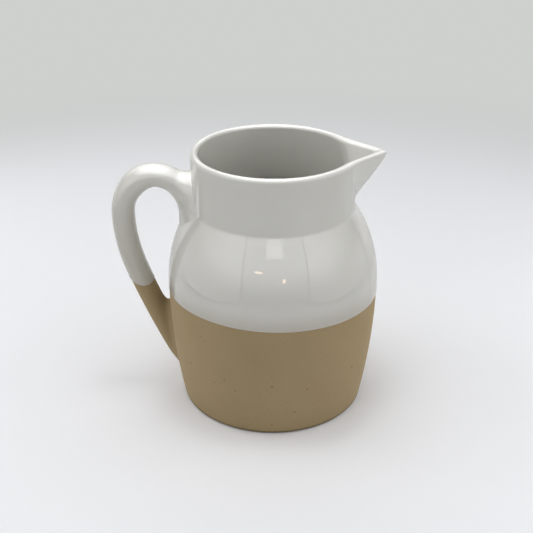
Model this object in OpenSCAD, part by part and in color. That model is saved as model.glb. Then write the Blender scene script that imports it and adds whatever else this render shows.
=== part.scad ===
// Stoneware jug: a buff clay body with a luted collar, beak and strap handle, dipped in white glaze.
// Millimetres, +Z up. The origin is the centre of the underside, the beak points to +X
// and the handle to -X.

/* [Belly] */
// Radius of the clay where the belly is widest
belly_r = 74.6; // [68:0.2:80]
// How far the foot is drawn in from the widest place
foot_draw = 8.6; // [5:0.2:12]
// Height of the widest place above the underside
belly_z = 90; // [82:1:98]
// Height of the crease where the collar stands on the shoulder
shoulder_z = 147; // [142:0.5:152]
// Thickness of the belly's wall
wall_t = 6; // [4.5:0.1:8]
// Thickness of the floor
floor_t = 8; // [5:0.1:12]
// Radius of the inside corner where the floor turns up into the wall
floor_corner_r = 14; // [8:0.5:20]
// Width of the bevel round the foot
foot_bevel = 1.2; // [0.5:0.1:2.5]

/* [Collar] */
// Outside radius of the clay collar
collar_r = 56; // [52:0.5:60]
// Thickness of the collar's wall
collar_t = 4.3; // [3.5:0.1:6]
// Height of the collar from the crease to its clay rim
collar_h = 39.5; // [35:0.5:46]

/* [Beak] */
// How far the beak's point stands out past the collar at the rim, before its edge is rounded
beak_out = 24; // [20:0.5:28]
// Angle to each side of the point at which the flanks leave the collar at the rim
beak_spread = 29.5; // [26:0.5:33]
// Thickness of the beak's wall, square to its flank
beak_t = 5; // [4:0.1:6]
// Height above the crease at which the beak starts to swell out of the collar
beak_root_up = 2.5; // [1.5:0.5:9]
// Width of the beak's foot at that height
beak_root_w = 8; // [5:0.5:14]
// Rounding of the keel below the lip
keel_round = 1.3; // [0.8:0.1:2.5]
// Rounding of the point at the rim
point_round = 2.4; // [1.3:0.1:4]
// Rounding of the channel's bottom
channel_round = 3.5; // [1.5:0.1:5]
// How much deeper the round of the lip is at the point
point_lip = 1; // [0:0.1:2]
// Softness of the run of the beak into the collar at its root
root_blend = 2.8; // [1.5:0.1:4]
// Softness of the run of the flanks into the collar at the rim
rim_blend = 4.4; // [3:0.1:5]

/* [Handle] */
// Thickness of the clay strap
handle_t = 15.2; // [12:0.2:17]
// Width of the clay strap
handle_w = 19.2; // [16:0.2:24]
// Stand-off of the strap's inner face from the collar
handle_proud = 9.2; // [8:0.2:12]
// Half the width of the oval arch that the strap's centreline makes over the top
arch_r = 23.5; // [21:0.5:27]
// Height of that arch
arch_h = 28.6; // [24:0.2:34]
// Depth of the foot of that arch below the crease
arch_below = 7.4; // [3:0.1:12]
// Height at which the strap's centreline runs into the belly
handle_foot_z = 35.4; // [30:0.2:45]
// Radius of the strap's tail where it is tucked in to the belly
tuck_r = 45; // [40:1:60]

/* [Joints and glaze] */
// Thickness of the joining slip between two clay pieces
slip_t = 0.8; // [0.6:0.1:1.2]
// Thickness of the fired glaze
glaze_t = 0.5; // [0.3:0.05:0.6]
// Height of the line to which the jug was dipped
dip_z = 88; // [82:0.5:100]

/* [Hidden] */
$fn = 240;
clay_colour = "#ad9a78";
slip_colour = "#9c8a6b";
glaze_colour = "#e6e5e1";
// How far a cutting shape runs past what it cuts
overrun = 5;

// Foot and rim, and outer and inner arcs of the belly, each upright at the widest place
base_r = belly_r - foot_draw;
rim_z = shoulder_z + collar_h;
low_r = (belly_z^2 + foot_draw^2) / (2 * foot_draw);
low_x = belly_r - low_r;
shoulder_h = shoulder_z - belly_z;
high_r = (shoulder_h^2 + (belly_r - collar_r)^2) / (2 * (belly_r - collar_r));
high_x = belly_r - high_r;
inside_r = belly_r - wall_t;
mouth_r = collar_r - collar_t;
inside_high_r = (shoulder_h^2 + (inside_r - mouth_r)^2) / (2 * (inside_r - mouth_r));
inside_high_x = inside_r - inside_high_r;

// Collar wall: its middle radius, and the height at which the round lip begins
collar_mid_r = collar_r - collar_t / 2;
lip_z = rim_z - collar_t / 2;

// Beak: its reach from the jug's axis and its root, slope and sine of the flanks' angle in plan,
// and the middle of the wall at the point
beak_reach = collar_r + beak_out;
beak_root_z = shoulder_z + beak_root_up;
flank_slope = (beak_reach - collar_r * cos(beak_spread)) / (collar_r * sin(beak_spread));
flank_sine = 1 / sqrt(1 + flank_slope^2);
point_mid = beak_reach - beak_t / (2 * flank_sine);
// The cut in the collar is wider than the beak's spread by this share
cut_share = 1.5;
cut_rim_w = 2 * collar_r * sin(cut_share * beak_spread);
cut_lean = atan2((cut_rim_w - beak_root_w) / 2, rim_z - beak_root_z);
// The keel turns blunter to the point by this power of its rise
point_power = 6;
// Share of the beak's half width over which the lip's round deepens to the point
point_lip_share = 0.33;
beak_columns = 28;
beak_rows = 9;
lip_steps = 9;

// Handle: centrelines of its legs, and the bend that brings the outer leg in, followed by a gentler bend
// down to the belly
arch_z = shoulder_z - arch_below;
inner_leg_x = collar_r + handle_proud - handle_t / 2;
arch_x = inner_leg_x + arch_r;
outer_leg_x = arch_x + arch_r;
handle_foot_x = low_x + sqrt(low_r^2 - (belly_z - handle_foot_z)^2);
foot_in = outer_leg_x - handle_foot_x;
foot_drop = arch_z - handle_foot_z;
// Share of the widest bend that would still reach the foot
bend_share = 0.7;
bend_r = bend_share * (foot_in^2 + foot_drop^2) / (2 * foot_in);
bend_reach = norm([bend_r - foot_in, foot_drop]);
// How many times wider the gentler bend is
leg_share = 5.5;
leg_r = leg_share * bend_r;
leg_span = leg_r - bend_r;
leg_turn = acos((leg_r^2 - leg_span^2 - bend_reach^2) / (2 * leg_span * bend_reach));
// Lean of the outer leg between the two bends, the centre of the gentler one, and the lean at the belly
handle_lean = atan2(foot_drop, bend_r - foot_in) - leg_turn;
leg_x = bend_r - outer_leg_x + leg_span * cos(handle_lean);
leg_z = arch_z + leg_span * sin(handle_lean);
foot_lean = atan2(leg_z - handle_foot_z, leg_x + handle_foot_x);
// Turn of the tail after it has reached the belly
tuck_turn = 40;
// The inner leg runs down until the shoulder has swallowed it, and stays above the dip line.
// Slip below the split belongs to the tail
stub_r = collar_r + handle_proud + slip_t + glaze_t;
swallow_z = belly_z + sqrt(max(high_r^2 - (stub_r - high_x)^2, 0));
stub_end_z = max(swallow_z, dip_z + 2 * overrun);
stub_z = min(arch_z, stub_end_z) - overrun;
split_z = stub_z - overrun;
tuck_x = tuck_r * cos(foot_lean) - handle_foot_x;
tuck_z = tuck_r * sin(foot_lean) + handle_foot_z;
arch_steps = 20;
bend_steps = 5;
leg_steps = 4;
tuck_steps = 6;
strap_sides = 24;

// Half outline, between two heights, of a round swelling centred at the height of the widest place
module swell_outline(centre_x, radius, from_z, to_z) {
    intersection() {
        translate([centre_x, belly_z]) circle(radius);
        translate([0, from_z]) square([belly_r + overrun, to_z - from_z]);
    }
    if (centre_x > 0) translate([0, from_z]) square([centre_x, to_z - from_z]);
}

// Half outline of the filled belly from the underside to the crease
module belly_outline(grow) {
    swell_outline(low_x, low_r + grow, 0, belly_z);
    swell_outline(high_x, high_r + grow, belly_z, shoulder_z);
}

// Half outline of the filled collar with its rounded rim
module collar_outline(grow) {
    translate([0, shoulder_z]) square([collar_r + grow, lip_z - shoulder_z]);
    translate([0, lip_z]) square([collar_mid_r, collar_t / 2 + grow]);
    intersection() {
        translate([collar_mid_r, lip_z]) circle(collar_t / 2 + grow);
        translate([collar_mid_r, lip_z]) square(collar_t / 2 + grow);
    }
}

// Half outline of the hollow inside the belly, drawn in by the thickness of a lining
module hollow_outline(lining, top_z) {
    bottom_z = floor_t + lining;
    corner_r = floor_corner_r - lining;
    corner_z = bottom_z + corner_r;
    wall_r = low_r - wall_t - lining;
    corner_x = low_x + sqrt((wall_r - corner_r)^2 - (belly_z - corner_z)^2);
    out = [corner_x - low_x, corner_z - belly_z] / (wall_r - corner_r);
    reach = corner_r + overrun;
    difference() {
        union() {
            swell_outline(low_x, wall_r, bottom_z, belly_z);
            swell_outline(inside_high_x, inside_high_r - lining, belly_z, top_z);
        }
        difference() {
            polygon([
                [corner_x, corner_z],
                [corner_x, corner_z - reach],
                [corner_x + reach, corner_z - reach],
                [corner_x, corner_z] + reach * out
            ]);
            translate([corner_x, corner_z]) circle(corner_r);
        }
    }
}

// Half section of the collar's wall from a given height up, with a round lip
module collar_section(grow, from_z) {
    width = collar_t + 2 * grow;
    translate([mouth_r - grow, from_z]) square([width, lip_z - from_z]);
    intersection() {
        translate([collar_mid_r, lip_z]) circle(width / 2);
        translate([mouth_r - grow, lip_z]) square([width, width / 2]);
    }
}

// The jug's filled outside, grown by a coat's thickness
module filled_body(grow) {
    rotate_extrude() {
        belly_outline(grow);
        collar_outline(grow);
    }
}

// A coat on the handle's half of the body: what lies between the outside and the coat's own surface
module coat_behind(coat) {
    rotate_extrude(angle = 180, start = 90) difference() {
        union() {
            belly_outline(coat);
            collar_outline(coat);
        }
        union() {
            belly_outline(0);
            collar_outline(0);
        }
    }
}

// The tapering cut through the collar that takes the beak, seen along X and widened for slip
module beak_cut_face(widen) {
    low_w = beak_root_w / 2 + widen / cos(cut_lean) - widen * tan(cut_lean);
    high_w = cut_rim_w / 2 + widen / cos(cut_lean) + overrun * tan(cut_lean);
    polygon([
        [-low_w, beak_root_z - widen],
        [low_w, beak_root_z - widen],
        [high_w, rim_z + overrun],
        [-high_w, rim_z + overrun]
    ]);
}

module beak_cut(widen) {
    rotate([90, 0, 90]) linear_extrude(beak_reach) beak_cut_face(widen);
}

// The larger of two lengths, with the corner between them rounded over a given softness
function soft_max(a, b, softness) =
    let (near = max(softness - abs(a - b), 0))
    max(a, b) + near^2 / (4 * softness);

// Rounding of the beak's edge in plan on a side of its wall, at a share of the rise to the rim;
// side is 1 on the outside, -1 in the channel and between them over the lip
function edge_round(side, rise) =
    let (outside = keel_round + (point_round - keel_round) * rise^point_power)
    channel_round + (outside - channel_round) * (1 + side) / 2;

// Distance out along X of the beak's wall at width y and height z, on a side of it
function beak_x(y, z, side, grow) =
    let (
        rise = (z - beak_root_z) / (rim_z - beak_root_z),
        wall = collar_mid_r + side * (collar_t / 2 + grow),
        point = point_mid + side * (beak_t / 2 + grow) / flank_sine,
        root = wall - root_blend + flank_slope * edge_round(side, 0),
        keel = root + rise * (point - root),
        blend = root_blend + rise * (rim_blend - root_blend)
    )
    soft_max(sqrt(wall^2 - y^2), keel - flank_slope * norm([y, edge_round(side, rise)]), blend);

// Height at which the round of the lip begins, lower towards the point
function lip_base(across) =
    let (near = max(1 - abs(across) / point_lip_share, 0))
    lip_z - point_lip * near^2 * (3 - 2 * near);

// Side and height of each point of the beak's wall: up the outside, over the lip, down the channel
function beak_path(across, grow) =
    let (
        base_z = lip_base(across),
        wall = [for (i = [0:beak_rows]) beak_root_z + i * (base_z - beak_root_z) / beak_rows]
    )
    [
        for (z = wall) [1, z],
        for (i = [1:lip_steps - 1])
            let (turn = 180 * i / lip_steps)
            [cos(turn), base_z + (rim_z + grow - base_z) * sin(turn)],
        for (z = reversed(wall)) [-1, z]
    ];

function cut_half_w(z) = beak_root_w / 2 + (z - beak_root_z) * tan(cut_lean);

function reversed(list) = [for (i = [len(list) - 1:-1:0]) list[i]];

function beak_ring(across, grow) = [
    for (p = beak_path(across, grow))
        let (y = across * cut_half_w(p[1]))
        [beak_x(y, p[1], p[0], grow), y, p[1]]
];

// Two triangles between four corners, split across the first corner or across the second
function quad(a, b, c, d, across_first) =
    across_first ? [[a, b, c], [a, c, d]] : [[a, b, d], [b, c, d]];

// A closed solid from rings of equal length, its ends closed by strips between opposite points.
// From the point backwards_from on, a ring runs back along a neighbour's face, and is split to match it
module ringed_solid(rings, backwards_from) {
    count = len(rings[0]);
    last = (len(rings) - 1) * count;
    sides = [
        for (r = [0:len(rings) - 2], i = [0:count - 1])
            let (j = (i + 1) % count, near = r * count, far = near + count)
            each quad(near + i, near + j, far + j, far + i, i < backwards_from)
    ];
    ends = [
        for (i = [0:count / 2 - 2])
            let (j = count - 1 - i)
            each concat(
                quad(i, j, j - 1, i + 1, true),
                quad(last + i, last + i + 1, last + j - 1, last + j, true)
            )
    ];
    polyhedron([for (ring = rings) each ring], concat(sides, ends));
}

// The places of the rings from one side of the beak to the other
beak_across = [for (i = [-beak_columns / 2:beak_columns / 2]) 2 * i / beak_columns];

// Centre of the strap in x and z, and the angle of its outer face, on the arch and on a bend about a centre
function arch_place(turn) = [
    arch_r * cos(turn) - arch_x,
    arch_z + arch_h * sin(turn),
    atan2(arch_r * sin(turn), arch_h * cos(turn))
];

function bend_place(x, z, radius, angle) = [x + radius * cos(angle), z + radius * sin(angle), angle];

// The strap's centreline: up out of the shoulder, over the arch, down the outer leg, in at the tail
strap_places = [
    [-inner_leg_x, stub_z, 0],
    for (i = [0:arch_steps])
        arch_place(180 * i / arch_steps),
    for (i = [1:bend_steps])
        bend_place(bend_r - outer_leg_x, arch_z, bend_r, 180 + handle_lean * i / bend_steps),
    for (i = [1:leg_steps - 1])
        let (lean = handle_lean + (foot_lean - handle_lean) * i / leg_steps)
        bend_place(leg_x, leg_z, leg_r, 180 + lean),
    for (i = [0:tuck_steps])
        bend_place(tuck_x, tuck_z, tuck_r, 180 + foot_lean + tuck_turn * i / tuck_steps)
];

// One oval ring of the strap
function strap_ring(place, grow) = [
    for (i = [0:strap_sides - 1])
        let (
            turn = -360 * (i + 1 / 2) / strap_sides,
            out = (handle_t / 2 + grow) * cos(turn)
        )
        [
            place[0] + out * cos(place[2]),
            (handle_w / 2 + grow) * sin(turn),
            place[1] + out * sin(place[2])
        ]
];

// The whole strap, with both ends run on into the body
module strap(grow) {
    ringed_solid([for (place = strap_places) strap_ring(place, grow)], strap_sides);
}

// Everything on the handle's side above or below a height
module block_behind(from_z, to_z) {
    translate([-2 * belly_r, -belly_r, from_z]) cube([2 * belly_r, 2 * belly_r, to_z - from_z]);
}

module belly() {
    color(clay_colour) rotate_extrude() difference() {
        belly_outline(0);
        hollow_outline(0, shoulder_z + overrun);
        translate([base_r, 0]) rotate(45) square(sqrt(2) * foot_bevel, center = true);
    }
}

module collar() {
    color(clay_colour) difference() {
        rotate_extrude() collar_section(0, shoulder_z + slip_t);
        beak_cut(slip_t);
    }
}

module beak() {
    rings = [for (across = beak_across) beak_ring(across, 0)];
    color(clay_colour) ringed_solid(rings, len(rings[0]));
}

module handle() {
    color(clay_colour) difference() {
        strap(0);
        filled_body(slip_t);
    }
}

module shoulder_slip() {
    color(slip_colour) translate([0, 0, shoulder_z]) rotate_extrude()
        translate([mouth_r, 0]) square([collar_t, slip_t]);
}

module beak_slip() {
    color(slip_colour) intersection() {
        rotate_extrude() collar_section(0, shoulder_z + slip_t);
        rotate([90, 0, 90]) linear_extrude(beak_reach) difference() {
            beak_cut_face(slip_t);
            beak_cut_face(0);
        }
    }
}

module upper_handle_slip() {
    color(slip_colour) intersection() {
        strap(0);
        coat_behind(slip_t);
        block_behind(split_z, rim_z);
    }
}

module lower_handle_slip() {
    color(slip_colour) intersection() {
        strap(0);
        coat_behind(slip_t);
        block_behind(0, split_z);
    }
}

module belly_glaze() {
    color(glaze_colour) difference() {
        rotate_extrude() intersection() {
            difference() {
                belly_outline(glaze_t);
                belly_outline(0);
            }
            translate([0, dip_z]) square([belly_r + overrun, shoulder_z - dip_z]);
        }
        strap(0);
    }
}

module collar_glaze() {
    color(glaze_colour) difference() {
        rotate_extrude() difference() {
            collar_section(glaze_t, shoulder_z);
            collar_section(0, shoulder_z);
        }
        beak_cut(0);
        strap(0);
    }
}

module beak_glaze() {
    rings = [
        for (across = beak_across)
            concat(beak_ring(across, glaze_t), reversed(beak_ring(across, 0)))
    ];
    color(glaze_colour) ringed_solid(rings, len(rings[0]) / 2);
}

module handle_glaze() {
    color(glaze_colour) difference() {
        intersection() {
            strap(glaze_t);
            block_behind(dip_z, rim_z);
        }
        strap(0);
        filled_body(glaze_t);
    }
}

module liner_glaze() {
    color(glaze_colour) rotate_extrude() difference() {
        hollow_outline(0, shoulder_z);
        hollow_outline(glaze_t, shoulder_z + overrun);
    }
}

belly();
collar();
beak();
handle();
shoulder_slip();
beak_slip();
upper_handle_slip();
lower_handle_slip();
belly_glaze();
collar_glaze();
beak_glaze();
handle_glaze();
liner_glaze();
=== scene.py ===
"""Looks of a stoneware jug: buff clay below, a white glaze dipped to the middle of the belly above.

The jug's sizes are in millimetres, as in the part's own source, and mesh_object() turns them to metres.
The studio round it is in metres. The beak points to +X, the handle to -X, and the camera stands on the
-Y side.
"""

import bpy
import numpy as np
from mathutils import Matrix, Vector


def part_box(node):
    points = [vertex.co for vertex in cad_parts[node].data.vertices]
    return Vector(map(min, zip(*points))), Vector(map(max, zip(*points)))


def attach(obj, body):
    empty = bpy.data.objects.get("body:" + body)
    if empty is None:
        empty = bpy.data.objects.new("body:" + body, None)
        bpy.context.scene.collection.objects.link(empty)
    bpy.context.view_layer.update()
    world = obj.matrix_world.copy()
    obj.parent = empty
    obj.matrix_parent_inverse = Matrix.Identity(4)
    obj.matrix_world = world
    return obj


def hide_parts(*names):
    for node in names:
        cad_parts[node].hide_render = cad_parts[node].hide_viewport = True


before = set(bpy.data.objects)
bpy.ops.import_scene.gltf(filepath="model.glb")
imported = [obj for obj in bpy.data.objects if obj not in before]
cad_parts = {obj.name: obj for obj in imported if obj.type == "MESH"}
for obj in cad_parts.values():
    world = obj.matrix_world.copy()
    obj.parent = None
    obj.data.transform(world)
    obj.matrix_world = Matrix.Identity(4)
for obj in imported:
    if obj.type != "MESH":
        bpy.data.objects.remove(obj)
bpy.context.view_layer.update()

MM = 0.001


def node_low(node):
    """Lowest corner of a frame node in millimetres."""
    return np.array(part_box(node)[0]) / MM


def node_high(node):
    """Highest corner of a frame node in millimetres."""
    return np.array(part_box(node)[1]) / MM


# Belly
BELLY_R = 74.6
BELLY_Z = 90.0
FOOT_DRAW = 8.6
FOOT_BEVEL = 1.2
WALL_T = 6.0
FLOOR_CORNER_R = 14.0
SHOULDER_Z = node_high("belly")[2]
FLOOR_T = node_low("liner_glaze")[2]
CREASE_ROUND = 4.2
NECK_ROUND = 4.0

# Collar; the rim's slow waves are (waves round the jug, share of the height, phase)
COLLAR_R = 56.0
COLLAR_T = 4.3
RIM_Z = node_high("collar")[2]
LIP_ROLL = 3.0
RIM_WAVE = 0.05
RIM_WAVES = ((3, 1.0, 0.6), (5, 0.7, 2.0))

# Beak; past FLANK_END on either side of the point the flanks fall away behind the round wall
BEAK_OUT = 24.0
BEAK_SPREAD = np.radians(29.5)
BEAK_T = 5.0
BEAK_ROOT_Z = node_low("beak")[2]
KEEL_ROUND = 1.3
POINT_ROUND = 3.5
CHANNEL_ROUND = 3.5
POINT_POWER = 6
POINT_LIP = 1.3
POINT_LIP_SPREAD = np.radians(14)
ROOT_BLEND = 2.8
RIM_BLEND = 4.4
LIP_FLARE = 1.6
LIP_FLARE_DOWN = 26.0
LIP_FLARE_MID = np.radians(31)
LIP_FLARE_SPREAD = np.radians(14)
FLANK_END = np.radians(38)
FLANK_DROP = 600.0

# Handle
HANDLE_T = 15.2
HANDLE_W = 19.2
HANDLE_PROUD = 9.2
ARCH_R = 23.5
ARCH_H = 28.6
ARCH_BELOW = 7.4
HANDLE_FOOT_Z = 35.4
BEND_SHARE = 0.7
LEG_SHARE = 5.5
TUCK_R = 45.0
TUCK_TURN = np.radians(40)
STUB_END_Z = 120.0
ARCH_SWELL = 0.8
ARCH_SWELL_TURN = np.radians(130)
ARCH_SWELL_REACH = 11.0
ROOT_SINK = 0.4

# Spread of the strap at its roots: (reach from the body, spread to the sides, spread up and down)
COLLAR_FLARE = (12.0, 9.5, 2.0)
SHOULDER_FLARE = (7.0, 5.5, 2.0)
BELLY_FLARE = (3.8, 2.5, 0.7)
# Webs of clay over the strap's head and in the crotch of the finger gap: (reach from the body, height)
HEAD_WEB = (10.0, 6.5)
CROTCH_WEB = (7.5, 13.5)
# How the webs fade round the strap: their level at its sides, and the swing to its two faces
HEAD_LEVEL = 0.2
CROTCH_LEVEL = 0.5
FACE_SWING = 0.8
# Shares of the glaze's spread and head web that the clay under it and the glaze's own underside have
CLAY_SPREAD_SHARE = 0.9
CLAY_HEAD_SHARE = 0.97
UNDER_SPREAD_SHARE = 0.92
UNDER_HEAD_SHARE = 0.98

# Glaze; the dip line has (sine, cosine) waves of once to four times round the jug, and on the strap a
# level and cosines of once and twice round it
GLAZE_T = 0.5
DIP_GLAZE_T = 0.33
HANDLE_GLAZE_T = 0.41
DIP_Z = node_low("belly_glaze")[2]
DIP_DROP = 0.66
DIP_WAVES = ((-0.84, 0.14), (-0.44, 0.39), (-0.08, 0.19), (0.07, -0.21))
DIP_FADE = 25.0
STRAP_DIP = (0.35, 1.5, 1.15)
EDGE_ROUND = 0.5
EDGE_REACH = 8.0
BEAD_T = 0.13
BEAD_UP = 1.0
BEAD_SPREAD = 0.8
THIN_UP = 14.0
# Painted shade: how far up the strap the glaze's warm, deep tone reaches
STRAP_SHADE_UP = 100.0
STRAP_CLEAR = 1.0
# Painted shade: the heights inside between which the glaze's tone deepens
LINER_SHADE_FROM_Z = 160.0
LINER_SHADE_TO_Z = 95.0
THICK_FROM_Z = 96.0
THICK_TO_Z = 135.0

# Meshes: radius of the smallest ring, rows along the stretches of the profiles and columns round them,
# the share of their spacing that is even, and the angle from which an edge is sharp
HUB_R = 0.5
EDGE_ROWS = 26
COAT_ROWS = {"belly": 16, "crease": 4, "collar": 14, "lip": 8, "inside_collar": 12, "neck": 4}
COAT_INSIDE_ROWS = (8, 8, 6, 5)
COAT_COLUMNS = 320
COLUMN_EVEN_SHARE = 0.35
CLAY_ROWS = {"underside": 12, "low": 40, "shoulder": 16}
CLAY_INSIDE_ROWS = (16, 16, 10, 8)
CLAY_COLUMNS = 240
LINE_ROWS = {"stub": 60, "arch": 240, "bend": 120, "leg": 120, "tail": 80}
STRAP_ROWS = 180
SLEEVE_ROWS = 150
SLEEVE_UNDER_ROWS = 40
STRAP_COLUMNS = 96
ROW_EVEN_SHARE = 0.4
SHARP_FROM = np.radians(35)

# Worked out from the sizes above
SHOULDER_H = SHOULDER_Z - BELLY_Z
COLLAR_MID = COLLAR_R - COLLAR_T / 2
MOUTH_R = COLLAR_R - COLLAR_T
BEAK_REACH = COLLAR_R + BEAK_OUT
FLANK_SLOPE = (BEAK_REACH - COLLAR_R * np.cos(BEAK_SPREAD)) / (COLLAR_R * np.sin(BEAK_SPREAD))
FLANK_SINE = 1 / np.hypot(1, FLANK_SLOPE)
POINT_MID = BEAK_REACH - BEAK_T / (2 * FLANK_SINE)


def swell_arc(widest_r, end_r, height):
    """Centre and radius of the arc that is upright at its widest and has drawn in to end_r at a height:
    radius = (height squared + draw squared) / twice the draw."""
    draw = widest_r - end_r
    radius = (height**2 + draw**2) / (2 * draw)
    return widest_r - radius, radius


LOW_X, LOW_R = swell_arc(BELLY_R, BELLY_R - FOOT_DRAW, BELLY_Z)
HIGH_X, HIGH_R = swell_arc(BELLY_R, COLLAR_R, SHOULDER_H)
INSIDE_X, INSIDE_R = swell_arc(BELLY_R - WALL_T, MOUTH_R, SHOULDER_H)
CORNER_Z = FLOOR_T + FLOOR_CORNER_R
CORNER_X = LOW_X + np.sqrt((LOW_R - WALL_T - FLOOR_CORNER_R) ** 2 - (BELLY_Z - CORNER_Z) ** 2)
CORNER_TURN = np.arctan2(CORNER_Z - BELLY_Z, CORNER_X - LOW_X)


# Surfaces


def smooth_step(share):
    """Rises from 0 to 1 with level ends: 3 s^2 - 2 s^3, held to 0 and 1 outside."""
    share = np.clip(share, 0, 1)
    return share**2 * (3 - 2 * share)


def bell(away, spread):
    """Falls from 1 in the middle to nearly 0 at twice the spread: e to the minus (away / spread) squared."""
    return np.exp(-((away / spread) ** 2))


def soft_max(a, b, softness):
    """The larger of two lengths, with the corner between them rounded by a parabola over the softness."""
    near = np.maximum(softness - np.abs(a - b), 0)
    return np.maximum(a, b) + near**2 / (4 * softness)


def arc(centre, radius, start, end, count):
    """Points on a circle in the (r, z) half plane, from one angle to another."""
    turn = np.linspace(start, end, count)
    return np.stack([centre[0] + radius * np.cos(turn), centre[1] + radius * np.sin(turn)], -1)


def line(start, end, count):
    """Evenly spaced points between two points of the (r, z) half plane."""
    share = np.linspace(0, 1, count)[:, None]
    return np.array(start) + share * (np.array(end) - np.array(start))


def glaze_depth(above):
    """Thickness of the glaze at a distance above its edge: a quarter round at the edge, a rolled bead as a
    bell over it, then an even coat."""
    edge = np.sqrt(1 - (1 - np.clip(above / EDGE_ROUND, 0, 1)) ** 2)
    return edge * (DIP_GLAZE_T + BEAD_T * bell(above - BEAD_UP, BEAD_SPREAD))


def edge_steps():
    """Distances above the glaze's edge, close together at the edge: the reach times s cubed."""
    return EDGE_REACH * np.linspace(0, 1, EDGE_ROWS) ** 3


def coat_on_belly(coat, crease_turn, count):
    """Outside of the belly from the dip line up to the crease: the clay's two arcs, pushed out along their
    normals by the depth of the glaze."""
    dip_turn = np.arcsin((DIP_Z - BELLY_Z) / LOW_R)
    upper = np.linspace(EDGE_REACH, (crease_turn - dip_turn) * HIGH_R, count)[1:]
    rise = np.concatenate([edge_steps(), upper])
    low_end = -dip_turn * LOW_R
    low = rise < low_end
    turn = np.where(low, dip_turn + rise / LOW_R, (rise - low_end) / HIGH_R)
    turn = np.minimum(turn, crease_turn)
    arc_r = np.where(low, LOW_R, HIGH_R)
    full = smooth_step((BELLY_Z + arc_r * np.sin(turn) - THICK_FROM_Z) / (THICK_TO_Z - THICK_FROM_Z))
    depth = glaze_depth(rise) * (1 - full) + GLAZE_T * full if coat else np.zeros_like(rise)
    radius = arc_r + depth
    return np.stack([
        np.where(low, LOW_X, HIGH_X) + radius * np.cos(turn),
        BELLY_Z + radius * np.sin(turn),
    ], -1)


def belly_inside(coat, neck_turn, rows):
    """Inside of the belly from the neck to the middle of the floor, a coat within the clay: two wall arcs,
    the floor's round corner and the floor."""
    high_rows, low_rows, corner_rows, floor_rows = rows
    floor_z = FLOOR_T + coat
    return np.concatenate([
        arc((INSIDE_X, BELLY_Z), INSIDE_R - coat, neck_turn, 0, high_rows),
        arc((LOW_X, BELLY_Z), LOW_R - WALL_T - coat, 0, CORNER_TURN, low_rows)[1:],
        arc((CORNER_X, CORNER_Z), FLOOR_CORNER_R - coat, CORNER_TURN, -np.pi / 2, corner_rows)[1:],
        line((CORNER_X, floor_z), (HUB_R, floor_z), floor_rows)[1:],
    ])


def body_profile(coat, fine):
    """The skin of the body from the dip line over the lip to the middle of the floor, as rows of
    (r, z, side, flat): belly arcs, crease fillet, collar, lip, inside collar, neck fillet, belly arcs, floor
    corner, floor. The lip is a quarter round inside and a taller quarter oval outside. Side is 1 outside, -1
    inside and the cosine over the lip; flat is how far a row rises with the flatter lip of the point."""
    rows = {stretch: count * fine for stretch, count in COAT_ROWS.items()}
    outer_r = COLLAR_R + coat
    inner_r = MOUTH_R - coat
    half_lip = COLLAR_T / 2 + coat
    top_z = RIM_Z + coat

    crease_x = outer_r + CREASE_ROUND
    crease_z = BELLY_Z + np.sqrt((HIGH_R + coat + CREASE_ROUND) ** 2 - (crease_x - HIGH_X) ** 2)
    crease_turn = np.arctan2(crease_z - BELLY_Z, crease_x - HIGH_X)
    neck_x = inner_r + NECK_ROUND
    neck_z = BELLY_Z + np.sqrt((INSIDE_R - coat + NECK_ROUND) ** 2 - (neck_x - INSIDE_X) ** 2)
    neck_turn = np.arctan2(neck_z - BELLY_Z, neck_x - INSIDE_X)

    outside = np.concatenate([
        coat_on_belly(coat, crease_turn, rows["belly"]),
        arc((crease_x, crease_z), CREASE_ROUND, np.pi + crease_turn, np.pi, rows["crease"])[1:],
    ])
    collar = line((outer_r, crease_z), (outer_r, top_z - LIP_ROLL), rows["collar"])[1:]
    lip_turn = np.linspace(0, np.pi, rows["lip"] + 1)[1:-1]
    lip_h = np.where(lip_turn < np.pi / 2, LIP_ROLL, half_lip)
    lip = np.stack([
        COLLAR_MID + half_lip * np.cos(lip_turn),
        top_z - lip_h * (1 - np.sin(lip_turn)),
    ], -1)
    inside_collar = line((inner_r, top_z - half_lip), (inner_r, neck_z), rows["inside_collar"])
    inside = np.concatenate([
        arc((neck_x, neck_z), NECK_ROUND, np.pi, np.pi + neck_turn, rows["neck"])[1:],
        belly_inside(coat, neck_turn, np.multiply(COAT_INSIDE_ROWS, fine))[1:],
    ])

    points = np.concatenate([outside, collar, lip, inside_collar, inside])
    side = np.concatenate([
        np.ones(len(outside) + len(collar)),
        np.cos(lip_turn),
        -np.ones(len(inside_collar) + len(inside)),
    ])
    flat = np.concatenate([
        np.zeros(len(outside)),
        np.linspace(0, 1, len(collar)),
        1 - np.sin(lip_turn),
        np.linspace(1, 0, len(inside_collar)),
        np.zeros(len(inside)),
    ])
    return points[:, 0, None], points[:, 1, None], side[:, None], flat[:, None]


def beak_columns():
    """Angles round the jug, close together at the beak: pi times a share of t and the rest of t cubed, for
    t from -1 to 1."""
    share = np.linspace(-1, 1, COAT_COLUMNS, endpoint=False)[None, :]
    return np.pi * (COLUMN_EVEN_SHARE * share + (1 - COLUMN_EVEN_SHARE) * share**3)


def dip_wave(around):
    """How far the dip line strays from its level round the jug: a drop, and four sine and cosine waves."""
    turn = around + np.pi / 2
    waves = [a * np.sin(n * turn) + b * np.cos(n * turn) for n, (a, b) in enumerate(DIP_WAVES, 1)]
    return sum(waves) - DIP_DROP


def rim_wave(around):
    """Height of the rim over its level round the jug, never above it: two sine waves less their peaks."""
    waves = [share * (np.sin(count * around + phase) - 1) for count, share, phase in RIM_WAVES]
    return RIM_WAVE * sum(waves)


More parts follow.
